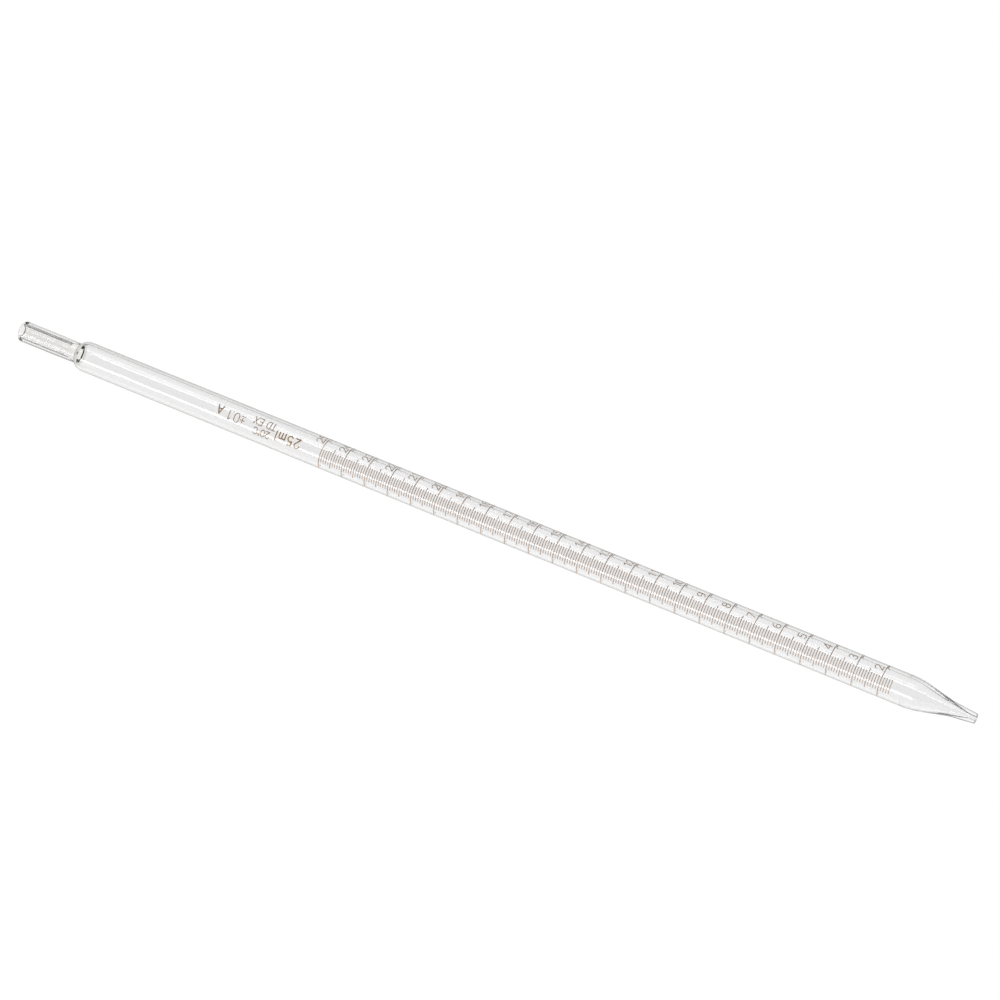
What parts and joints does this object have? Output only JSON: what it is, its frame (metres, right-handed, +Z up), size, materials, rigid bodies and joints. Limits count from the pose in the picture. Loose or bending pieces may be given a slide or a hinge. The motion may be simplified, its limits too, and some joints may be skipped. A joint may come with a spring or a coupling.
{
  "type": "graduated glass pipette",
  "caption": "Straight graduated glass pipette with a suction tube, a domed shoulder, an amber-stained volume scale on the barrel, and a fine drawn-down delivery jet.",
  "frame": {"origin": "on the surface that the pipette lies on, below the middle of its length", "axes": "+X along the pipette's axis towards the delivery tip, +Z up, -Y the side from which the scale is read"},
  "size_m": [0.45, 0.0134, 0.0135],
  "materials": {
    "clear_glass": "clear, fire-polished",
    "amber_stain_fine": "fired amber stain in fine lines, satin",
    "amber_stain_bold": "fired amber stain in bold letters, satin"
  },
  "bodies": {
    "root": {"suction_tube": "clear_glass", "graduated_barrel": "clear_glass", "delivery_jet": "clear_glass", "millilitre_lines": "amber_stain_fine", "half_millilitre_lines": "amber_stain_fine", "tenth_millilitre_lines": "amber_stain_fine", "scale_numerals": "amber_stain_fine", "capacity_inscription": "amber_stain_bold", "temperature_inscription": "amber_stain_bold", "delivery_inscription": "amber_stain_bold", "tolerance_inscription": "amber_stain_bold", "class_letter": "amber_stain_bold"}
  },
  "joints": []
}
